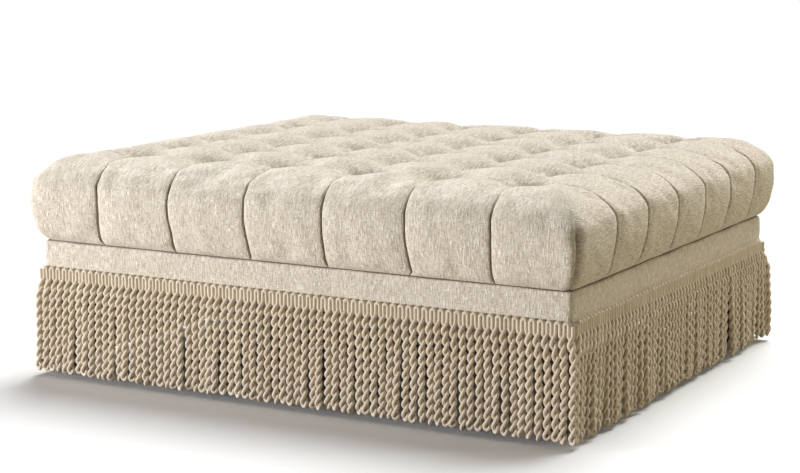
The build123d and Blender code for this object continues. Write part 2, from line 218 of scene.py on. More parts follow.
# Heading and cords of the fringe
CORDS_LONG = 72
CORDS_SHORT = 61
HEADING_HEIGHT = 0.026
HEADING_LEAN = 0.0003
HEADING_POINTS = 5
HEADING_STANDOFF = 0.0056
HEADING_CORNER = 0.0014  # how far the middle of the last heading loop lies past the band's corner
TAPE_SHORTER = 0.001  # how much the tape of an end stops short of the band's corner
TAPE_GAP = 0.0002
TAPE_BACK = 0.001
TAPE_TOP_INSET = 0.004
STRAND_RADIUS = {"front": 0.0038, "right": 0.0032, "back": 0.0043, "left": 0.0043}
TWIST_RADIUS = 0.0041
TWIST_PITCH = 0.039
TWIST_PITCH_SHARES = (0.93, 1.08)
TWIST_POINTS = 12.5  # points in one turn of the twist
TWIST_START = 0.35
TWIST_GROW = 0.010
FEWEST_POINTS = 8
LOOP_RADIUS = 0.0052
LOOP_GROW = 0.014
ARC_POINTS = 6
CORD_STANDOFF = 0.0092
STANDOFF_GROW = 0.035
CORD_FLARE = 0.0028  # how much further out the cords hang at the foot
CORD_SWAY = 0.0011
CORD_SWAY_CURVE = 1.3
CORD_KINK = 0.0008
CORD_KINK_TURN = 9
CORD_KINK_PHASE = 6
CORD_BELLY = 0.0012
CORD_BELLY_MIDDLE = 0.10
CORD_BELLY_REACH = 0.09
CORD_LENGTH_SCATTER = 0.002
CORD_FLATNESS = 0.96
CLUMP_CORDS = 5  # neighbours that lean together
CORNER_FLARE = {"front": 0.0100, "right": 0.0190, "back": 0.0205, "left": 0.0120}  # at the ends of a side
FLARE_CURVE = ((0.7, 0.045), (0.3, 0.19))  # share of it, and how far below the heading that share is reached
TUBE_SIDES = 7

# Sides of the fringe: quarter turns from the front, cords, how far cords lean together and stand out, seed
FRINGE_SIDES = {
    "front": (0, CORDS_LONG, 0.0020, 0.0015, 71),
    "right": (1, CORDS_SHORT, 0.0042, 0.0036, 72),
    "back": (2, CORDS_LONG, 0.0010, 0.0015, 73),
    "left": (-1, CORDS_SHORT, 0.0010, 0.0015, 74),
}

# Lining under the frame
LINING_NOTCH = 0.069
LINING_NOTCH_STEPS = 5
LINING_STEPS_X = 61
LINING_STEPS_Y = 47
LINING_GAP = 0.0008
LINING_SAG = 0.006
LINING_SAG_GROW = (0.02, 0.3)

# Floor and world
FLOOR_LEVEL = -0.0004  # a hair below the glides
FLOOR_SEEN = (0.915, 0.925, 0.94)
FLOOR_BOUNCE = (0.34, 0.30, 0.21)
WORLD_FILL = (1.0, 0.94, 0.80)
WORLD_FILL_STRENGTH = 0.12

# Lamps: kind, place, the point each is turned to, and its settings
LAMPS = {
    "overhead": ("SUN", (0, 0, 4), (-0.02, -0.53, 3.15), {"energy": 3.62, "angle": math.radians(42)}),
    "softbox": (
        "AREA",
        (-4.2, -4.0, 0.63),
        (0.0, -0.5, 0.28),
        {"energy": 365, "color": (0.95, 0.955, 1.0), "shape": "RECTANGLE", "size": 1.75, "size_y": 1.25},
    ),
    "side_light": (
        "AREA",
        (3.0, 0.8, 1.1),
        (0.6, 0.0, 0.2),
        {"energy": 13.5, "color": (1.0, 0.92, 0.66), "size": 0.5},
    ),
}

# Camera
CAMERA_PLACE = (1.94415, -3.60083, 0.93453)
CAMERA_AIM = (-0.04140, 0.00210, 0.25851)
CAMERA_LENS = 87.28


# Shape helpers


def waves(points, height, wavelength, count, seed):
    """Smooth seeded noise at points in space, about as high as given either way, as a sum of sine waves in
    random directions."""
    dice = np.random.default_rng(seed)
    total = np.zeros(points.shape[:-1])
    for _ in range(count):
        heading = dice.normal(size=3)
        heading *= 2 * math.pi / (wavelength * dice.uniform(*WAVE_SCATTER) * np.linalg.norm(heading))
        total += np.sin(points @ heading + dice.uniform(0, 2 * math.pi))
    return height * (total / math.sqrt(count))


def eased(value):
    """0 below 0, 1 above 1, and smooth between."""
    value = np.clip(value, 0, 1)
    return value * value * (3 - 2 * value)


def grown(value, start, reach):
    """0 up to the start, 1 a reach beyond it, and smooth between."""
    return eased((value - start) / reach)


def bell(distance, reach, curve=2):
    """1 at no distance, falling off smoothly over a reach."""
    return np.exp(-((distance / reach) ** curve))


def stacked(*axes):
    """Places from their coordinates, each of them an array or one number."""
    return np.stack(np.broadcast_arrays(*axes), axis=-1)


def distances(path):
    """The distance run along a path, at each of its points."""
    return np.concatenate(([0], np.cumsum(np.linalg.norm(np.diff(path, axis=0), axis=1))))


def numbered(rows, columns, first=0):
    """The vertex numbers of a grid."""
    return first + np.arange(rows * columns).reshape(rows, columns)


def through(points, step):
    """Even steps along a smooth curve through a few points."""
    points = np.array(points)
    ends = np.vstack((2 * points[0] - points[1], points, 2 * points[-1] - points[-2]))
    share = np.linspace(0, 1, CURVE_POINTS, endpoint=False)[:, None]
    runs = []
    for a, b, c, d in zip(ends, ends[1:], ends[2:], ends[3:]):
        bend = (2 * b) + (c - a) * share + (2 * a - 5 * b + 4 * c - d) * share**2
        runs.append(0.5 * (bend + (3 * b - a - 3 * c + d) * share**3))
    curve = np.vstack(runs + [points[-1:]])
    travelled = distances(curve)
    even = np.linspace(0, travelled[-1], round(travelled[-1] / step) + 1)
    return stacked(*(np.interp(even, travelled, line) for line in curve.T))


def stations(lines, reach, step, offsets):
    """Places along one direction of the cushion's grid: even, and closer together at each tuft line."""
    fine = np.array([-offset for offset in reversed(offsets)] + [0, *offsets])
    places = []
    edges = [-reach, *lines, reach]
    for index, (start, end) in enumerate(zip(edges, edges[1:])):
        low = start + (fine[-1] if index else 0)
        high = end - (fine[-1] if index < len(lines) else 0)
        even = np.linspace(low, high, round((high - low) / step) + 1)
        places.append(even[1:] if index else even)
        if index < len(lines):
            places.append((end + fine)[1:])
    return np.concatenate(places)


def new_mesh(name, places, faces, uvs=None, tone=None):
    """A smooth mesh object. The faces are lists of corners or an array of quads; uvs go with the corners of
    the faces, in order, and tone is a value for each vertex."""
    mesh = bpy.data.meshes.new(name)
    faces = faces.tolist() if isinstance(faces, np.ndarray) else faces
    mesh.from_pydata(places.tolist(), [], faces)
    mesh.polygons.foreach_set("use_smooth", np.ones(len(mesh.polygons), bool))
    if uvs is not None:
        layer = mesh.uv_layers.new(name="cloth")
        layer.data.foreach_set("uv", np.asarray(uvs, np.float32).ravel())
    if tone is not None:
        layer = mesh.attributes.new("tone", "FLOAT", "POINT")
        layer.data.foreach_set("value", np.asarray(tone, np.float32))
    mesh.update()
    piece = bpy.data.objects.new(name, mesh)
    bpy.context.scene.collection.objects.link(piece)
    return piece


def dress(piece, material, slot, *nodes):
    """Gives a piece its material and its body, and hides the nodes that it stands for. The slot is not used.
    """
    piece.data.materials.append(material)
    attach(piece, "root")
    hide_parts(*nodes)


def grid_quads(index):
    """The quads of a grid of vertex numbers."""
    return np.stack((index[:-1, :-1], index[:-1, 1:], index[1:, 1:], index[1:, :-1]), axis=-1).reshape(-1, 4)


def grid_uvs(u, v):
    """The corners' UVs of grid_quads, from the U and the V of the vertices."""
    uv = stacked(u, v)
    return np.stack((uv[:-1, :-1], uv[:-1, 1:], uv[1:, 1:], uv[1:, :-1]), axis=-2).reshape(-1, 2)


def turned_round(quads, uvs):
    """Quads and their UVs with the corners in the opposite order, so that they face the other way."""
    return quads[:, ::-1], uvs.reshape(-1, 4, 2)[:, ::-1].reshape(-1, 2)


# Cushion


def rounded(along, half_along, half_across, radius):
    """Plan of one side of a rounded rectangle, for the side that faces -across: the place and the outward
    direction at each value of along. The last stretch of it turns half of the corner."""
    radius = np.maximum(radius, TINY)
    turned = np.clip((np.abs(along) - (half_along - radius)) / radius, 0, 1)
    angle = turned * math.pi / 4
    sign = np.sign(along)
    straight = np.minimum(np.abs(along), half_along - radius)
    place_along = sign * (straight + radius * np.sin(angle))
    place_across = -(half_across - radius) - radius * np.cos(angle)
    return place_along, place_across, sign * np.sin(angle), -np.cos(angle)


def shoulder(distance, width):
    """A crease between two round shoulders: 1 in the crease, 0 a width away."""
    near = np.clip(1 - distance / width, 0, 1)
    return 1 - np.sqrt(1 - near**2)


def from_lines(places, lines):
    """Distance to the nearest of some lines, and which line it is."""
    gaps = np.abs(places[..., None] - lines)
    return gaps.min(axis=-1), gaps.argmin(axis=-1)


def top_sink(x, y):
    """How far the cloth of the top lies below the plain crown: valleys, funnels and the folds round them."""
    gap_x, _ = from_lines(x, TUFT_X)
    gap_y, _ = from_lines(y, TUFT_Y)
    inside_x = grown(HALF_WIDTH - np.abs(x), *RIM_GROW)
    inside_y = grown(HALF_DEPTH - np.abs(y), *RIM_GROW)
    near_x = VALLEY_MIDDLE + (1 - VALLEY_MIDDLE) * bell(gap_x, VALLEY_SPREAD)
    near_y = VALLEY_MIDDLE + (1 - VALLEY_MIDDLE) * bell(gap_y, VALLEY_SPREAD)
    past_x = grown(np.abs(x) - TUFT_X[-1], *VALLEY_FADE)
    past_y = grown(np.abs(y) - TUFT_Y[-1], *VALLEY_FADE)
    valley_x = bell(gap_x, VALLEY_REACH, VALLEY_CURVE) * near_y * inside_x * (1 - BORDER_FADE * past_y)
    valley_y = bell(gap_y, VALLEY_REACH, VALLEY_CURVE) * near_x * inside_y * (1 - BORDER_FADE * past_x)
    sink = VALLEY_DEPTH * np.sqrt(valley_x**2 + valley_y**2 + TINY)
    outer_x = grown(np.abs(x) - TUFT_X[-1], *BOWL_OUTER_FADE)
    outer_y = grown(np.abs(y) - TUFT_Y[-1], *BOWL_OUTER_FADE)
    bowl = BOWL_DEPTH * inside_x * inside_y * (1 - BOWL_FADE * np.maximum(outer_x, outer_y))
    dice = np.random.default_rng(TUFT_SEED)
    for tuft_x in TUFT_X:
        for tuft_y in TUFT_Y:
            away = np.hypot(x - tuft_x, y - tuft_y)
            angle = np.arctan2(y - tuft_y, x - tuft_x)
            depth = FUNNEL_DEPTH * dice.uniform(*FUNNEL_DEPTH_SHARES)
            reach = FUNNEL_REACH * dice.uniform(*FUNNEL_REACH_SHARES)
            sink += depth * bell(away, reach, FUNNEL_CURVE)
            sink += bowl * bell(away, BOWL_REACH, BOWL_CURVE)
            ring = bell(away - FOLD_REACH, FOLD_WIDTH)
            for count in FOLD_COUNTS:
                turned = count * angle + dice.uniform(0, 2 * math.pi)
                swing = np.cos(turned + FOLD_TWIST * away * dice.normal())
                sink += FOLD_DEPTH * dice.uniform(*FOLD_DEPTH_SHARES) * swing * ring
    pleats = shoulder(gap_x, PLEAT_WIDTH) * past_y + shoulder(gap_y, PLEAT_WIDTH) * past_x
    return sink + BORDER_PLEAT * pleats


def side_sink(along, lines, name):
    """How far the cloth of a side lies inside the plain one: the pleats, and the panels' bulge between."""
    gap, line = from_lines(along, lines)
    pitch = lines[1] - lines[0]
    middle = np.clip(gap / (pitch / 2), 0, 1)
    sink = PANEL_BULGE * (1 - middle) ** 2
    sink += PLEAT_DEPTH * shoulder(gap, PLEAT_WIDTH)
    sink += PLEAT_SLIT * np.sqrt(np.clip(1 - gap / PLEAT_SLIT_HALF[name], 0, 1))
    lap = PLEAT_LAP_STEP * PLEAT_LAP[name] * np.sign(along - lines[line])
    return sink - lap * bell(gap, PLEAT_LAP_REACH, 1)


def pleat_wander(along, height, lines, name):
    """Sideways shift of the cloth on a side, so that no pleat runs quite straight."""
    dice = np.random.default_rng(PLEAT_SEED[name])
    shift = np.zeros(along.shape)
    for line in lines:
        lean, sway = dice.normal(0, PLEAT_LEAN), dice.normal(0, PLEAT_SWAY)
        phase = dice.uniform(0, 2 * math.pi)
        drift = PLEAT_SHIFT[name] + lean * (PLEAT_LEAN_HEIGHT - height)
        drift += sway * np.sin(height * 2 * math.pi / PLEAT_SWAY_LENGTH + phase)
        shift += drift * bell(along - line, PLEAT_WANDER_REACH)
    return shift


def cushion_side(columns, half_along, half_across, lines, ring_step, name):
    """Places of one side's grid, for the side that faces -across. Rows run from the seam up to the top's
    edge. Also the columns' places at the top's edge, the distance down from that edge, the share of the side
    in each place, the painted shade in its pleats and along its mitre, and the top's inset."""
    profile = through(SIDE_PROFILE, ring_step)
    inset, height = profile.T[..., None]
    slope = np.gradient(profile, axis=0)
    slope /= np.linalg.norm(slope, axis=1)[:, None]
    upward, outward = slope.T[..., None]
    zone_start = half_along - CORNER_ZONE
    beyond = np.clip((np.abs(columns) - zone_start) / CORNER_ZONE, 0, 1)
    reach = half_along - inset
    along = np.sign(columns) * (np.minimum(np.abs(columns), zone_start) + beyond * (reach - zone_start))
    radius = CORNER_RADIUS * (1 - (1 - CORNER_TOP_SHARE) * grown(height, *CORNER_TIGHTENING))
    place_along, place_across, face_along, face_across = rounded(along, reach, half_across - inset, radius)
    level = np.broadcast_to(height, place_along.shape)
    corner_gap = reach - np.abs(along)

    on_side = 1 - grown(level, *PLEAT_FADE)
    near_seam = grown(level, *PLEAT_GROW)
    pleat_gap, _ = from_lines(place_along, lines)
    # Painted shade: 1 in a pleat's slit and along the mitre below the notch, where the deep fold lies in
    # shadow
    crease = np.clip(CREASE_SHADE_PEAK - pleat_gap / (CREASE_SHADE_SPREAD * PLEAT_SLIT_HALF[name]), 0, 1) * on_side
    mitre_shade = MITRE_SHADE * np.clip(1 - corner_gap / MITRE_SHADE_WIDTH, 0, 1)
    crease = np.maximum(crease, mitre_shade * (1 - grown(level, *NOTCH_FADE)))

    sink = side_sink(place_along, lines, name) * on_side * near_seam
    sink -= CORNER_PUFF * grown(level, *CORNER_PUFF_GROW) * bell(corner_gap, CORNER_PUFF_REACH)
    mitre = MITRE_DEPTH * grown(level, *MITRE_GROW) * (1 - grown(level, *MITRE_FADE))
    sink += mitre * shoulder(corner_gap, MITRE_WIDTH)
    sink += NOTCH_DEPTH * bell(level - NOTCH_HEIGHT, NOTCH_RISE) * bell(corner_gap, NOTCH_REACH)

    wander = near_seam * (1 - grown(level, *PLEAT_WANDER_FADE))
    shifted = place_along + pleat_wander(place_along, level, lines, name) * wander
    places = stacked(
        shifted - face_along * outward * sink,
        place_across - face_across * outward * sink,
        SEAM + level - upward * sink,
    )
    return places, along[-1], distances(profile[::-1])[::-1], on_side, crease, inset[-1, 0]


def cushion_top(x_edge, y_edge, top_inset):
    """Places of the top's grid. Its rim matches the upper rows of the four sides."""
    x, y = np.meshgrid(x_edge, y_edge)
    half_x, half_y = x_edge[-1], y_edge[-1]
    zone = CORNER_ZONE - top_inset
    over_x = (np.abs(x) - (half_x - zone)) / zone
    over_y = (np.abs(y) - (half_y - zone)) / zone
    ring = np.clip(np.maximum(over_x, over_y), SMALLEST_RING, 1)
    radius = CORNER_RADIUS * CORNER_TOP_SHARE * ring
    ring_x, ring_y = half_x - zone + ring * zone, half_y - zone + ring * zone
    in_corner = (over_x > 0) & (over_y > 0)
    front_x, front_y, _, _ = rounded(x, ring_x, ring_y, radius)
    side_y, side_x, _, _ = rounded(y, ring_y, ring_x, radius)
    from_front = over_y >= over_x
    plan_x = np.where(from_front, front_x, np.sign(x) * -side_x)
    plan_y = np.where(from_front, np.sign(y) * -front_y, side_y)
    plan_x, plan_y = np.where(in_corner, plan_x, x), np.where(in_corner, plan_y, y)
    rise_x = 1 - (1 - np.clip((HALF_WIDTH - top_inset - np.abs(plan_x)) / BORDER_REACH, 0, 1)) ** 2
    rise_y = 1 - (1 - np.clip((HALF_DEPTH - top_inset - np.abs(plan_y)) / BORDER_REACH, 0, 1)) ** 2
    edge_height = SEAM + SIDE_PROFILE[-1][1]
    height = edge_height + BORDER_DROP * rise_x * rise_y
    return stacked(plan_x, plan_y, height)


def cushion_grid(step, ring_step, offsets):
    """Vertices of the plain cushion cover, their share of the sides, their painted shade in the pleats and
    mitres, quads, UVs, and the patches: vertex numbers with the places of their rows and columns. The first
    patch is the top, and the others are the front, back, left and right side."""
    columns = stations(TUFT_X, HALF_WIDTH, step, offsets)
    rows = stations(TUFT_Y, HALF_DEPTH, step, offsets)
    long_side = (columns, HALF_WIDTH, HALF_DEPTH, TUFT_X, ring_step)
    short_side = (rows, HALF_DEPTH, HALF_WIDTH, TUFT_Y, ring_step)
    front, x_edge, down, share, long_crease_shade, top_inset = cushion_side(*long_side, "front")
    left, y_edge, _, short_share, short_crease_shade, _ = cushion_side(*short_side, "left")
    back = cushion_side(*long_side, "back")[0] * (1, -1, 1)
    right = cushion_side(*short_side, "right")[0] * (1, -1, 1)
    swapped = [1, 0, 2]  # along and across change places
    x_down, y_down = x_edge[-1] + down[:, None], y_edge[-1] + down[:, None]

    top = numbered(len(rows), len(columns))
    count = top.size
    patches, corners = [(top, rows, columns)], {}
    places = [cushion_top(x_edge, y_edge, top_inset).reshape(-1, 3)]
    shares, crease_shades = [np.zeros(count)], [np.zeros(count)]
    quads, uvs = [grid_quads(top)], [grid_uvs(x_edge, y_edge[:, None])]
    for name, side, side_share, crease, rim, stretch, uv in (
        ("front", front, share, long_crease_shade, top[0], columns, (columns, -y_down)),
        ("back", back, share, long_crease_shade, top[-1], columns, (columns, y_down)),
        ("left", left[..., swapped], short_share, short_crease_shade, top[:, 0], rows, (-x_down, rows)),
        ("right", right[..., swapped], short_share, short_crease_shade, top[:, -1], rows, (x_down, rows)),
    ):
        # The short sides share their first and last columns with the long ones
        kept = slice(None) if stretch is columns else slice(1, -1)
        inner = side[:-1, kept]
        index = numbered(*inner.shape[:2], count)
        count += index.size
        if stretch is columns:
            corners[name] = index
        else:
            at = 0 if name == "left" else -1
            index = np.column_stack((corners["front"][:, at], index, corners["back"][:, at]))
        index = np.vstack((index, rim))
        faces = grid_quads(index), grid_uvs(*uv)
        if name in ("back", "left"):
            faces = turned_round(*faces)
        patches.append((index, down[0] - down, stretch))
        places.append(inner.reshape(-1, 3))
        shares.append(side_share[:-1, kept].ravel())
        crease_shades.append(crease[:-1, kept].ravel())
        quads.append(faces[0])
        uvs.append(faces[1])
    share, crease = np.concatenate(shares), np.concatenate(crease_shades)
    return np.vstack(places), share, crease, np.vstack(quads), np.vstack(uvs), patches


def cushion_form(step, ring_step, offsets):
    """The cover pulled down at its tufts and corners, with slightly loose cloth: vertices, which of them are
    held, their painted shade in the pleats and mitres, quads, UVs and patches."""
    plain, side_share, crease_shades, quads, uvs, patches = cushion_grid(step, ring_step, offsets)
    x, y, z = plain.T
    height = z - SEAM
    places = plain.copy()
    places[:, 2] -= top_sink(x, y) * (1 - side_share) * grown(height, *TOP_GROW)
    corner_x, corner_y = HALF_WIDTH - np.abs(x), HALF_DEPTH - np.abs(y)
    near = (x > 0) & (y < 0)
    drop = (CORNER_DROP + NEAR_CORNER_DROP * near) * bell(np.hypot(corner_x, corner_y), DROP_REACH)
    places[:, 2] -= drop * grown(height, *DROP_GROW)
    outward = (plain - (0, 0, SEAM + LOOSE_CENTRE)) / (HALF_WIDTH, HALF_DEPTH, LOOSE_HALF_HEIGHT)
    outward /= np.linalg.norm(outward, axis=1)[:, None]
    loose = waves(plain, *LOOSE_WAVES) + waves(plain, *LOOSE_RIPPLES)
    places += outward * (loose * grown(height, *LOOSE_GROW))[:, None]
    gap_x, _ = from_lines(x, TUFT_X)
    gap_y, _ = from_lines(y, TUFT_Y)
    held = (np.hypot(gap_x, gap_y) < HELD_REACH) | (crease_shades > HELD_CREASE) | (z < SEAM + HELD_SEAM)
    held |= (corner_x < HELD_CORNER) & (corner_y < HELD_CORNER)
    return places, held, crease_shades, quads, uvs, patches


def read_between(field, rows, columns, new_rows, new_columns):
    """A field on one grid, read at the places of another and smoothed a little."""
    field = np.stack([np.interp(new_columns, columns, line) for line in field])
    field = np.stack([np.interp(new_rows, rows, line) for line in field.T], axis=1)
    for _ in range(CLOTH_SMOOTHINGS):
        field[1:-1] = (field[:-2] + 2 * field[1:-1] + field[2:]) / 4
        field[:, 1:-1] = (field[:, :-2] + 2 * field[:, 1:-1] + field[:, 2:]) / 4
    return field


def settled(count, patches):
    """How the cloth of the cover moves when it is cut a little too large and the wadding swells it between
    its tufts, pleats and seam. It is worked out on a wide grid and read for the vertices of the fine one."""
    start, held, _, quads, _, wide_patches = cushion_form(CLOTH_STEP, CLOTH_STEP, ())
    trial = new_mesh("cover_trial", start, quads)
    pins = trial.vertex_groups.new(name="held")
    pins.add(np.flatnonzero(held).tolist(), 1.0, "REPLACE")
    cloth = trial.modifiers.new("cloth", "CLOTH")
    for setting, value in CLOTH_SETTINGS.items():
        setattr(cloth.settings, setting, value)
    cloth.settings.vertex_group_mass = "held"
    cloth.settings.effector_weights.gravity = 0.0
    cloth.collision_settings.use_collision = False
    cloth.point_cache.frame_end = CLOTH_FRAMES
    for frame_number in range(1, CLOTH_FRAMES + 1):
        bpy.context.scene.frame_set(frame_number)
    result = trial.evaluated_get(bpy.context.evaluated_depsgraph_get()).data
    moved = np.empty(start.size, np.float32)
    result.vertices.foreach_get("co", moved)
    moved = moved.reshape(-1, 3) - start
    bpy.data.meshes.remove(trial.data)
    bpy.context.scene.frame_set(1)
    far = np.linalg.norm(moved, axis=1)[:, None]
    moved /= np.sqrt(1 + (far / CLOTH_CAP) ** 2)
    movement = np.zeros((count, 3))
    for (index, rows, columns), (wide, wide_rows, wide_columns) in zip(patches, wide_patches):
        for axis in range(3):
            movement[index, axis] = read_between(moved[wide, axis], wide_rows, wide_columns, rows, columns)
    return movement


def make_cushion(material):
    """The tufted cover."""
    places, _, crease_shades, quads, uvs, patches = cushion_form(GRID_STEP, RING_STEP, FINE_OFFSETS)
    places += settled(len(places), patches)
    front, back, left, right = [index for index, _, _ in patches[1:]]
    lip = np.concatenate((front[0], right[0][1:-1], back[0][::-1], left[0][1:-1][::-1]))
    faces = quads.tolist() + [lip.tolist()[::-1]]
    uvs = np.vstack((uvs, places[lip[::-1]][:, :2]))
    # The painted shade of the pleats and mitres goes in as the tone attribute, which darkens the cloth there
    piece = new_mesh("cushion_cover", places, faces, uvs, crease_shades)
    dress(piece, material, "cushion_fabric", "tufted_cover")


def make_buttons(material):
    """The covered buttons, each a low dome a little tilted in its funnel."""
    around, up = 20, 6
    angle = np.linspace(0, 2 * math.pi, around, endpoint=False)
    slope = np.linspace(0, math.pi / 2, up)[:-1, None]
    x = BUTTON_RADIUS * np.cos(slope) * np.cos(angle)
    y = BUTTON_RADIUS * np.cos(slope) * np.sin(angle)
    rings = stacked(x, y, BUTTON_RISE * np.sin(slope)).reshape(-1, 3)
    hem = rings[:around] * BUTTON_HEM - (0, 0, BUTTON_SKIRT)
    plain = np.vstack((rings, (0, 0, BUTTON_RISE), hem))
    dice = np.random.default_rng(BUTTON_SEED)
    places, faces, uvs = [], [], []
    for tuft_x in TUFT_X:
        for tuft_y in TUFT_Y:
            dome = plain.copy()
            tilt_x, tilt_y = dice.normal(0, BUTTON_TILT, 2)
            dome[:, 2] += dome[:, 0] * tilt_x + dome[:, 1] * tilt_y
            start = sum(len(block) for block in places)
            places.append(dome + (tuft_x, tuft_y, buttons_low.z + BUTTON_LIFT))
            peak = start + (up - 1) * around
            levels = np.vstack((numbered(1, around, peak + 1), numbered(up - 1, around, start)))
            faces += grid_quads(np.hstack((levels, levels[:, :1]))).tolist()
            rim = levels[-1].tolist()
            faces += [(corner, after, peak) for corner, after in zip(rim, rim[1:] + rim[:1])]
            faces.append(levels[0, ::-1].tolist())
    places = np.vstack(places)
    for face in faces:
        uvs += [places[corner, :2] for corner in face]
    dress(new_mesh("covered_buttons", places, faces, uvs), material, "cushion_fabric", "tuft_buttons")


# Band


def perimeter(half_x, half_y, radius, step):
    """Plan points and outward directions round a rounded rectangle, once round, with the distance run."""
    points, outward = [], []
    for quarter, (corner_x, corner_y) in enumerate(((1, -1), (1, 1), (-1, 1), (-1, -1))):
        for turn in np.linspace(0, math.pi / 2, TURN_POINTS):
            angle = -math.pi / 2 + quarter * math.pi / 2 + turn
            direction = np.array((math.cos(angle), math.sin(angle)))
            centre = np.array((corner_x * (half_x - radius), corner_y * (half_y - radius)))
            points.append(centre + radius * direction)
            outward.append(direction)
    points.append(points[0])
    outward.append(outward[0])
    points, outward = np.array(points), np.array(outward)
    run, facing = [points[0]], [outward[0]]
    for start, end, face, next_face in zip(points, points[1:], outward, outward[1:]):
        length = np.linalg.norm(end - start)
        for share in np.linspace(0, 1, max(1, round(length / step)) + 1)[1:]:
            run.append(start + (end - start) * share)
            facing.append(face + (next_face - face) * share)
    travelled = distances(run)
    facing = np.array(facing)
    return np.array(run), facing / np.linalg.norm(facing, axis=1)[:, None], travelled


def make_band(material):
    """The plain band: one strip of the cushion's cloth over thin wadding, right round the base."""
    run, facing, travelled = perimeter(BAND_HALF_WIDTH, BAND_HALF_DEPTH, BAND_PLAN_RADIUS, BAND_STEP)
    run, facing = run[:-1], facing[:-1]
    edge, thick = BAND_EDGE_RADIUS, BAND_THICKNESS
    top, bottom = SEAM - BAND_SEAM_GAP, BAND_BOTTOM
    section = [(thick, top - edge * BAND_LIP_SHARE)]
    section += [
        (edge - edge * math.sin(turn), top - edge + edge * math.cos(turn))
        for turn in np.linspace(0, math.pi / 2, EDGE_POINTS)
    ]
    section += [(0, top - edge - (top - edge - bottom) * share) for share in np.linspace(0, 1, BAND_ROWS)[1:]]
    section += [(thick, bottom)]
    section = np.array(section)
    inset, height = section[:, 0][:, None], section[:, 1][:, None]
    face = eased((thick - inset) / thick)
    puffed = (height - FRINGE_TOP + BAND_PUFF_MARGIN) / (SEAM - FRINGE_TOP + BAND_PUFF_MARGIN)
    bulge = BAND_PUFF * face * np.sin(math.pi * np.clip(puffed, 0, 1))
    plan = run[None, :, :] - facing[None, :, :] * inset[..., None]
    places = stacked(plan[..., 0], plan[..., 1], height)
    ripple = waves(places, *BAND_RIPPLES) + waves(places * BAND_WAVE_STRETCH, *BAND_WAVES)
    places[..., :2] += facing[None] * (bulge + ripple * face)[..., None]
    places[..., 2] += waves(places * (1, 1, 0), *BAND_EDGE_WAVES) * (height > FRINGE_TOP)
    index = numbered(*places.shape[:2])
    index = np.hstack((index, index[:, :1]))
    drop = distances(section)
    index = np.vstack((index, index[:1]))
    drop = np.concatenate((drop, drop[-1:] + thick))
    quads, uvs = turned_round(grid_quads(index), grid_uvs(travelled, -drop[:, None]))
    piece = new_mesh("band_cover", places.reshape(-1, 3), quads, uvs)
    dress(piece, material, "cushion_fabric", "band_front", "band_right", "band_back", "band_left")


# Fringe


def hanging_cord(centre, half, sway, depth, foot, dice):
    """The two plies of one cord, each from the heading down: they twist round each other, part into the
    closing loop at the foot, and hang a little out of true."""
    head_foot = FRINGE_TOP - HEADING_HEIGHT
    pitch = TWIST_PITCH * dice.uniform(*TWIST_PITCH_SHARES)
    hanging = head_foot - foot
    steps = max(FEWEST_POINTS, round(hanging / pitch * TWIST_POINTS))
    share = np.linspace(0, 1, steps)
    below = hanging * share
    turned = 2 * math.pi * (below / pitch) * eased(below / TWIST_GROW + TWIST_START)
    swing = TWIST_RADIUS + (half - TWIST_RADIUS) * (1 - eased(below / TWIST_GROW))
    swing = swing + (LOOP_RADIUS - TWIST_RADIUS) * eased(1 - (1 - share) * hanging / LOOP_GROW)
    kink = CORD_KINK * np.sin(share * CORD_KINK_TURN + dice.uniform(0, CORD_KINK_PHASE))
    middle = centre + sway * share**CORD_SWAY_CURVE + kink
    out = HEADING_STANDOFF + (CORD_STANDOFF - HEADING_STANDOFF) * eased(below / STANDOFF_GROW)
    out = out + (CORD_FLARE + depth) * share + CORD_BELLY * bell(share - CORD_BELLY_MIDDLE, CORD_BELLY_REACH)
    plies = []
    for start in (math.pi, 0):
        angle = start + turned
        away = out + swing * np.sin(angle) * CORD_FLATNESS
        plies.append(stacked(middle + swing * np.cos(angle), away, head_foot - below))
    return plies


def strand_path(centres, strand, clump, scatter, seed):
    """The line of one strand through all the cords of a side: places, and the tone of the cord each is in.
    Along the side is the first axis, outward the second, and up the third."""
    dice = np.random.default_rng(seed)
    pitch = centres[1] - centres[0]
    half = pitch / 4
    turn_top = FRINGE_TOP - strand - half
    arc = np.linspace(0, math.pi, ARC_POINTS)[1:-1]
    up = np.linspace(turn_top, FRINGE_TOP - HEADING_HEIGHT, HEADING_POINTS, endpoint=False)
    leans = dice.normal(0, 1, len(centres) + CLUMP_CORDS - 1)
    together = clump * np.convolve(leans, np.ones(CLUMP_CORDS) / CLUMP_CORDS, "valid")
    lines, tones = [], []
    for number, centre in enumerate(centres):
        foot = FRINGE_FOOT + strand + LOOP_RADIUS + abs(dice.normal(0, CORD_LENGTH_SCATTER))
        sway, depth = dice.normal(0, CORD_SWAY) + together[number], dice.normal(0, scatter)
        plies = hanging_cord(centre, half, sway, depth, foot, dice)
        edges = centre + np.array((-half, half)) + dice.normal(0, HEADING_LEAN, 2)
        left, right = (stacked(edge, HEADING_STANDOFF, up) for edge in edges)
        ends = plies[0][-1], plies[1][-1]
        loop = (ends[0] + ends[1]) / 2 + np.cos(arc)[:, None] * (ends[0] - ends[1]) / 2
        loop[:, 2] -= np.sin(arc) * LOOP_RADIUS
        run = [left, plies[0], loop, plies[1][::-1], right[::-1]]
        if number < len(centres) - 1:
            over = centre + pitch / 2 - half * np.cos(arc)
            run.append(stacked(over, HEADING_STANDOFF, turn_top + half * np.sin(arc)))
        run = np.vstack(run)
        lines.append(run)
        tones.append(np.full(len(run), dice.normal(0, 1)))
    return np.vstack(lines), np.concatenate(tones)


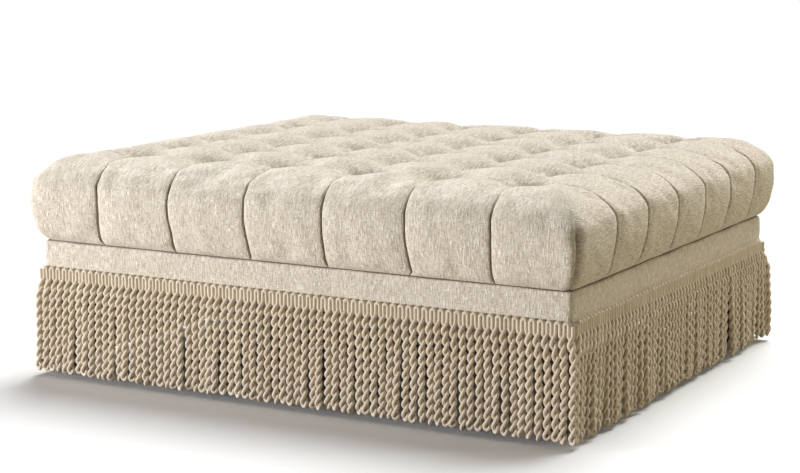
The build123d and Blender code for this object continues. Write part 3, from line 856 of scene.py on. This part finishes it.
def tube(path, radius, sides):
    """A closed tube along a path: vertices, quads, end caps and UVs in metres along and round it."""
    ahead = np.gradient(path, axis=0)
    ahead /= np.linalg.norm(ahead, axis=1)[:, None]
    normal = np.empty_like(path)
    guide = np.array((0.0, 1.0, 0.0))
    for step, heading in enumerate(ahead):
        guide = guide - heading * (guide @ heading)
        guide /= np.linalg.norm(guide)
        normal[step] = guide
    other = np.cross(ahead, normal)
    angle = np.linspace(0, 2 * math.pi, sides, endpoint=False)
    ring = normal[:, None] * np.cos(angle)[:, None] + other[:, None] * np.sin(angle)[:, None]
    places = path[:, None] + ring * radius
    index = numbered(len(path), sides)
    index = np.hstack((index, index[:, :1]))
    travelled = distances(path)
    round_it = np.linspace(0, 2 * math.pi * radius, sides + 1)
    quads = grid_quads(index)
    caps = [index[0, :-1].tolist(), index[-1, :-1].tolist()[::-1]]
    return places.reshape(-1, 3), quads, caps, grid_uvs(travelled[:, None], round_it)


def block(low, high):
    """A plain strip as vertices and faces, for the tape behind the heading."""
    ends = list(zip(low, high))
    corners = np.array([(x, y, z) for x in ends[0] for y in ends[1] for z in ends[2]])
    faces = [(0, 1, 3, 2), (4, 6, 7, 5), (0, 4, 5, 1), (2, 3, 7, 6), (0, 2, 6, 4), (1, 5, 7, 3)]
    return corners, faces


def make_fringe(name, material):
    """The fringe of one side: the woven tape, and the strand that forms its heading and cords. The long
    sides take the corner cords, and the short ones fit between them."""
    quarters, cords, clump, scatter, seed = FRINGE_SIDES[name]
    takes_corners = cords == CORDS_LONG
    halves = BAND_HALF_DEPTH, BAND_HALF_WIDTH
    half_face, half_length = halves if takes_corners else halves[::-1]
    gaps = cords - 1 if takes_corners else cords + 1
    first = -1 if takes_corners else 2 / gaps - 1
    centres = (first + 2 * np.arange(cords) / gaps) * (half_length + HEADING_CORNER)
    strand = STRAND_RADIUS[name]
    path, tones = strand_path(centres, strand, clump, scatter, seed)
    below_heading = FRINGE_TOP - HEADING_HEIGHT - path[:, 2]
    flared = sum(share * eased(below_heading / reach) for share, reach in FLARE_CURVE)
    path[:, 0] *= 1 + CORNER_FLARE[name] / half_length * flared
    places, quads, caps, uvs = tube(path, strand, TUBE_SIDES)
    tone = np.repeat(tones, TUBE_SIDES)
    reach = half_length + (HEADING_CORNER if takes_corners else -TAPE_SHORTER)
    corners, faces = block(
        (-reach, TAPE_GAP, FRINGE_TOP - HEADING_HEIGHT),
        (reach, HEADING_STANDOFF - TAPE_BACK, FRINGE_TOP - TAPE_TOP_INSET),
    )
    start = len(places)
    places = np.vstack((places, corners))
    tone = np.concatenate((tone, np.zeros(len(corners))))
    faces = [tuple(start + corner for corner in face) for face in faces]
    cap_uvs = np.zeros((sum(len(cap) for cap in caps), 2))
    tape_uvs = [places[corner][[0, 2]] for face in faces for corner in face]
    # The outward axis is -Y at the front
    places[:, 1] = -half_face - places[:, 1]
    turn = quarters * math.pi / 2
    across, back = places[:, 0].copy(), places[:, 1].copy()
    places[:, 0] = across * math.cos(turn) - back * math.sin(turn)
    places[:, 1] = across * math.sin(turn) + back * math.cos(turn)
    everything = quads.tolist() + caps + faces
    piece = new_mesh("fringe_cords_" + name, places, everything, np.vstack((uvs, cap_uvs, tape_uvs)), tone)
    dress(piece, material, "fringe_cotton", "fringe_" + name)


# Materials


class Nodes:
    """Short names for the nodes of a material or of the world."""

    def __init__(self, tree):
        self.tree = tree
        self.tree.nodes.clear()

    def put(self, slot, value):
        """Sets a socket to a value, or joins it to an output."""
        if isinstance(value, bpy.types.NodeSocket):
            self.tree.links.new(value, slot)
        else:
            slot.default_value = value

    def add(self, kind, inputs=None, **values):
        node = self.tree.nodes.new(kind)
        for key, value in values.items():
            setattr(node, key, value)
        for key, value in (inputs or {}).items():
            self.put(node.inputs[key], value)
        return node

    def uv(self):
        return self.add("ShaderNodeUVMap", uv_map="cloth").outputs["UV"]

    def position(self):
        return self.add("ShaderNodeTexCoord").outputs["Object"]

    def tone(self):
        return self.add("ShaderNodeAttribute", attribute_name="tone").outputs["Fac"]

    def stretched(self, source, scale, rotation=(0, 0, 0)):
        inputs = {"Vector": source, "Rotation": rotation, "Scale": scale}
        return self.add("ShaderNodeMapping", inputs).outputs["Vector"]

    def noise(self, source, detail=2.0, rough=0.5):
        inputs = {"Vector": source, "Scale": 1.0, "Detail": detail, "Roughness": rough}
        return self.add("ShaderNodeTexNoise", inputs).outputs["Fac"]

    def ramp(self, source, low=0.3, high=0.7, start=0.0, end=1.0):
        inputs = {"Value": source, "From Min": low, "From Max": high, "To Min": start, "To Max": end}
        return self.add("ShaderNodeMapRange", inputs, clamp=True).outputs["Result"]

    def math(self, kind, a, b):
        return self.add("ShaderNodeMath", {0: a, 1: b}, operation=kind).outputs["Value"]

    def blend(self, first, first_share, *others):
        """A sum of outputs, each times its share: further outputs and shares follow in pairs."""
        total = self.math("MULTIPLY", first, first_share)
        for source, share in zip(others[::2], others[1::2]):
            total = self.math("ADD", total, self.math("MULTIPLY", source, share))
        return total

    def colours(self, share, first, second):
        """A colour between two others. Either may be a colour or an output."""
        node = self.add("ShaderNodeMix", {"Factor": share}, data_type="RGBA")
        for key, value in (("A", first), ("B", second)):
            slot = [s for s in node.inputs if s.name == key and s.type == "RGBA"][0]
            self.put(slot, (*value, 1.0) if isinstance(value, tuple) else value)
        return [s for s in node.outputs if s.type == "RGBA"][0]

    def seen(self):
        """1 for what the camera sees, directly, by reflection or through glass, and 0 for other light."""
        rays = self.add("ShaderNodeLightPath").outputs
        seen = self.math("MAXIMUM", rays["Is Camera Ray"], rays["Is Glossy Ray"])
        return self.math("MAXIMUM", seen, rays["Is Transmission Ray"])


class Finish(Nodes):
    """A material with one Principled shader."""

    def __init__(self, name):
        self.material = bpy.data.materials.new(name)
        self.material.use_nodes = True
        super().__init__(self.material.node_tree)
        self.shader = self.add("ShaderNodeBsdfPrincipled")
        self.add("ShaderNodeOutputMaterial", {"Surface": self.shader.outputs["BSDF"]})

    def set(self, **values):
        for key, value in values.items():
            self.put(self.shader.inputs[key.replace("_", " ")], value)

    def colour(self, source):
        self.set(Base_Color=source)

    def relief(self, height, distance, strength):
        inputs = {"Height": height, "Distance": distance, "Strength": strength}
        self.set(Normal=self.add("ShaderNodeBump", inputs).outputs["Normal"])

    def roughness(self, source, smooth, rough):
        self.set(Roughness=self.ramp(source, start=smooth, end=rough))


def screen(red, green, blue):
    """A linear colour from screen values 0 to 255."""
    return tuple((value / 255) ** 2.2 for value in (red, green, blue))


def slub_cloth():
    """Slubby linen weave: thick and thin threads both ways, pale slubs along the warp, faint mottling."""
    m = Finish("slub_linen")
    uv = m.uv()
    warp = m.noise(m.stretched(uv, (560, 76, 1)), 3.0)
    strand = m.noise(m.stretched(uv, (250, 40, 1)), 2.0)
    weft = m.noise(m.stretched(uv, (110, 470, 1)), 2.0)
    slub = m.ramp(m.noise(m.stretched(uv, (340, 74, 1)), 1.0), 0.56, 0.72)
    knot = m.ramp(m.noise(m.stretched(uv, (150, 260, 1)), 1.0), 0.60, 0.72)
    mottle = m.noise(m.stretched(uv, (40, 34, 1)), 4.0, 0.6)
    threads = m.blend(warp, 0.48, strand, 0.26, weft, 0.26)
    base = m.colours(m.ramp(threads, 0.40, 0.61), screen(180, 166, 146), screen(246, 241, 228))
    base = m.colours(m.ramp(mottle, 0.34, 0.66, 0.0, 0.42), base, screen(214, 199, 182))
    pale = m.colours(m.math("MULTIPLY", slub, 0.8), base, screen(254, 250, 238))
    spotted = m.colours(m.math("MULTIPLY", knot, 0.5), pale, screen(166, 150, 124))
    # Painted shade: where the tone attribute is set, in the cushion's pleats and mitres, the cloth is
    # darkened towards deep brown
    m.colour(m.colours(m.math("MULTIPLY", m.tone(), 0.62), spotted, screen(118, 99, 76)))
    m.relief(m.blend(threads, 1.0, slub, 0.55, knot, 0.25), 0.0014, 0.9)
    m.roughness(mottle, 0.86, 0.96)
    m.set(Sheen_Weight=0.25, Sheen_Roughness=0.45, Specular_IOR_Level=0.25)
    return m.material


def twisted_cotton():
    """Soft cotton yarn of the fringe: fine threads that run slantwise round the strand."""
    m = Finish("fringe_cotton")
    slant = m.stretched(m.uv(), (300, 300, 1), (0, 0, math.radians(62)))
    inputs = {"Vector": slant, "Scale": 0.55, "Distortion": 1.6, "Detail": 1.0}
    wave = m.add("ShaderNodeTexWave", inputs, wave_type="BANDS", bands_direction="X", wave_profile="SIN")
    fuzz = m.noise(m.stretched(m.position(), (520, 520, 520)), 3.0)
    shade = m.blend(wave.outputs["Fac"], 0.55, fuzz, 0.45)
    base = m.colours(m.ramp(shade, 0.2, 0.8), screen(214, 197, 173), screen(253, 243, 224))
    m.colour(m.colours(m.ramp(m.tone(), -2.2, 2.2, 0.0, 0.5), base, screen(206, 188, 166)))
    m.relief(shade, 0.0008, 0.7)
    m.roughness(fuzz, 0.78, 0.92)
    m.set(Sheen_Weight=0.2, Sheen_Roughness=0.5, Specular_IOR_Level=0.3)
    return m.material


def stained_wood():
    """Dark stained hardwood: long grain, fine pores and a dull coat."""
    m = Finish("stained_hardwood")
    place = m.position()
    grain = m.noise(m.stretched(place, (55, 55, 4)), 5.0, 0.6)
    pores = m.noise(m.stretched(place, (900, 900, 40)), 2.0)
    base = m.colours(m.ramp(grain), screen(60, 40, 28), screen(104, 74, 52))
    m.colour(m.colours(m.ramp(pores, 0.55, 0.7, 0.0, 0.6), base, screen(40, 27, 20)))
    m.relief(m.blend(grain, 1.0, pores, 0.4), 0.0004, 0.5)
    m.roughness(grain, 0.42, 0.6)
    return m.material


def grainy(name, stretch, detail, dark, pale, relief=None):
    """A material of two colours mixed by one stretched noise, which may also emboss it. Also that noise."""
    m = Finish(name)
    grain = m.noise(m.stretched(m.position(), stretch), *detail)
    m.colour(m.colours(m.ramp(grain), screen(*dark), screen(*pale)))
    if relief:
        m.relief(grain, *relief)
    return m, grain


def plywood():
    """Pale plywood face with a soft wide grain."""
    m, _ = grainy("plywood_face", (6, 60, 60), (5.0, 0.6), (176, 142, 100), (214, 184, 142), (0.0003, 0.4))
    m.set(Roughness=0.7)
    return m.material


def moulded_plastic(name, dark, pale):
    """Matt moulded plastic with a fine spark-eroded skin."""
    m, skin = grainy(name, (1600, 1600, 1600), (2.0,), dark, pale, (0.0001, 0.5))
    m.roughness(skin, 0.42, 0.58)
    return m.material


def plated_steel():
    """Zinc-plated steel of bolts, screws and staples."""
    m, spots = grainy("plated_steel", (400, 400, 400), (3.0,), (150, 152, 154), (196, 197, 198))
    m.roughness(spots, 0.25, 0.42)
    m.set(Metallic=1.0)
    return m.material


def open_foam():
    """Cream open-cell foam."""
    m, _ = grainy("seat_foam", (700, 700, 700), (3.0,), (214, 200, 158), (238, 228, 196), (0.0008, 0.6))
    m.set(Roughness=0.95)
    return m.material


def waxed_twine():
    """Waxed upholstery twine."""
    m, _ = grainy("waxed_twine", (900, 900, 500), (2.0,), (190, 176, 146), (228, 218, 194), (0.0002, 0.6))
    m.set(Roughness=0.6)
    return m.material


def dust_cloth():
    """Black spun lining with a faint fibre pattern."""
    m = Finish("dust_lining")
    fibre = m.noise(m.stretched(m.position(), (500, 700, 500)), 4.0)
    dots = m.noise(m.stretched(m.position(), (260, 260, 260)), 1.0)
    m.colour(m.colours(m.ramp(fibre, 0.35, 0.65), screen(28, 28, 30), screen(58, 58, 60)))
    m.relief(m.math("ADD", fibre, dots), 0.0003, 0.6)
    m.roughness(dots, 0.8, 0.95)
    return m.material


# Underside and frame


def lining_places(half, inner, steps):
    """Places across the lining, with one at each edge of the notches."""
    low = np.linspace(-half, -inner, LINING_NOTCH_STEPS)
    high = np.linspace(inner, half, LINING_NOTCH_STEPS)
    return np.unique(np.concatenate((low, np.linspace(-inner, inner, steps), high)))


def make_dust_cover(material):
    """The lining under the frame: a stretched sheet, notched round the legs and sagging a little."""
    half_x, half_y = dust_high.x, dust_high.y
    inner_x = half_x - LINING_NOTCH
    inner_y = half_y - LINING_NOTCH
    x = lining_places(half_x, inner_x, LINING_STEPS_X)
    y = lining_places(half_y, inner_y, LINING_STEPS_Y)
    grid_x, grid_y = np.meshgrid(x, y)
    hang = grown(half_x - np.abs(grid_x), *LINING_SAG_GROW) * grown(half_y - np.abs(grid_y), *LINING_SAG_GROW)
    places = stacked(grid_x, grid_y, dust_high.z - LINING_GAP - LINING_SAG * hang)
    places[..., 2] -= hang * waves(places, *LINING_WAVES)
    quads = grid_quads(numbered(*grid_x.shape))[:, ::-1]
    middle = places.reshape(-1, 3)[quads].mean(axis=1)
    kept = (np.abs(middle[:, 0]) < inner_x) | (np.abs(middle[:, 1]) < inner_y)
    quads = quads[kept]
    used, renumbered = np.unique(quads, return_inverse=True)
    flat = places.reshape(-1, 3)[used]
    quads = renumbered.reshape(quads.shape)
    piece = new_mesh("dust_lining_sheet", flat, quads, flat[quads.ravel()][:, :2])
    dress(piece, material, "dust_cloth", "dust_cover")


def finish_nodes():
    """Better materials for the CAD nodes that stay."""
    wood, board, foam = stained_wood(), plywood(), open_foam()
    plastic = moulded_plastic("glide_plastic", (44, 40, 38), (64, 60, 57))
    toggle = moulded_plastic("toggle_plastic", (196, 196, 190), (216, 216, 210))
    steel, twine = plated_steel(), waxed_twine()
    finishes = {
        "rail": wood, "stretcher": wood, "leg_front": wood, "leg_back": wood, "corner_block": wood,
        "glide": plastic, "tufting_deck": board, "seat_foam": foam, "tufting_twine": twine,
        "twine_toggles": toggle, "leg_bolts": steel, "deck_screws": steel, "dust_staples": steel,
    }
    for name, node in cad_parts.items():
        for words, material in finishes.items():
            if words in name:
                node.data.materials.clear()
                node.data.materials.append(material)


# Floor, light and camera


def make_floor():
    """A plain floor: nearly white where it is seen, and darker for the light that it throws back."""
    bpy.ops.mesh.primitive_plane_add(size=60)
    floor = bpy.context.object
    floor.name = "studio_floor"
    floor.location.z = FLOOR_LEVEL
    m = Finish("studio_floor")
    m.set(Roughness=0.9, Specular_IOR_Level=0.1)
    m.colour(m.colours(m.seen(), FLOOR_BOUNCE, FLOOR_SEEN))
    floor.data.materials.append(m.material)


def make_world():
    """A background that is white where it is seen, and a faint warm fill light."""
    world = bpy.data.worlds.new("studio")
    bpy.context.scene.world = world
    world.use_nodes = True
    m = Nodes(world.node_tree)
    seen = m.add("ShaderNodeBackground", {"Color": (1, 1, 1, 1)})
    fill = m.add("ShaderNodeBackground", {"Color": (*WORLD_FILL, 1), "Strength": WORLD_FILL_STRENGTH})
    chosen = m.add("ShaderNodeMixShader", {0: m.seen(), 1: fill.outputs[0], 2: seen.outputs[0]})
    m.add("ShaderNodeOutputWorld", {"Surface": chosen.outputs[0]})


def aimed(name, data, place, aim):
    """A lamp or a camera at a place, turned to a point."""
    holder = bpy.data.objects.new(name, data)
    bpy.context.scene.collection.objects.link(holder)
    holder.location = place
    holder.rotation_euler = (Vector(aim) - Vector(place)).to_track_quat("-Z", "Y").to_euler()
    return holder


def make_lamps():
    """A wide soft light from above and behind, a softbox at the front left and a small one at the right. The
    camera doesn't see them."""
    for name, (kind, place, aim, settings) in LAMPS.items():
        light = bpy.data.lights.new(name, kind)
        for setting, value in settings.items():
            setattr(light, setting, value)
        aimed(name, light, place, aim).visible_camera = False


def make_camera():
    """The camera, at the place fitted to the photo."""
    camera = aimed("camera", bpy.data.cameras.new("camera"), CAMERA_PLACE, CAMERA_AIM)
    camera.data.lens = CAMERA_LENS
    camera.data.sensor_width = 36
    camera.data.clip_end = 200
    bpy.context.scene.camera = camera
    bpy.context.scene.view_settings.view_transform = "Standard"


cloth = slub_cloth()
cotton = twisted_cotton()
make_cushion(cloth)
make_buttons(cloth)
make_band(cloth)
for side_name in FRINGE_SIDES:
    make_fringe(side_name, cotton)
make_dust_cover(dust_cloth())
finish_nodes()
make_floor()
make_world()
make_lamps()
make_camera()
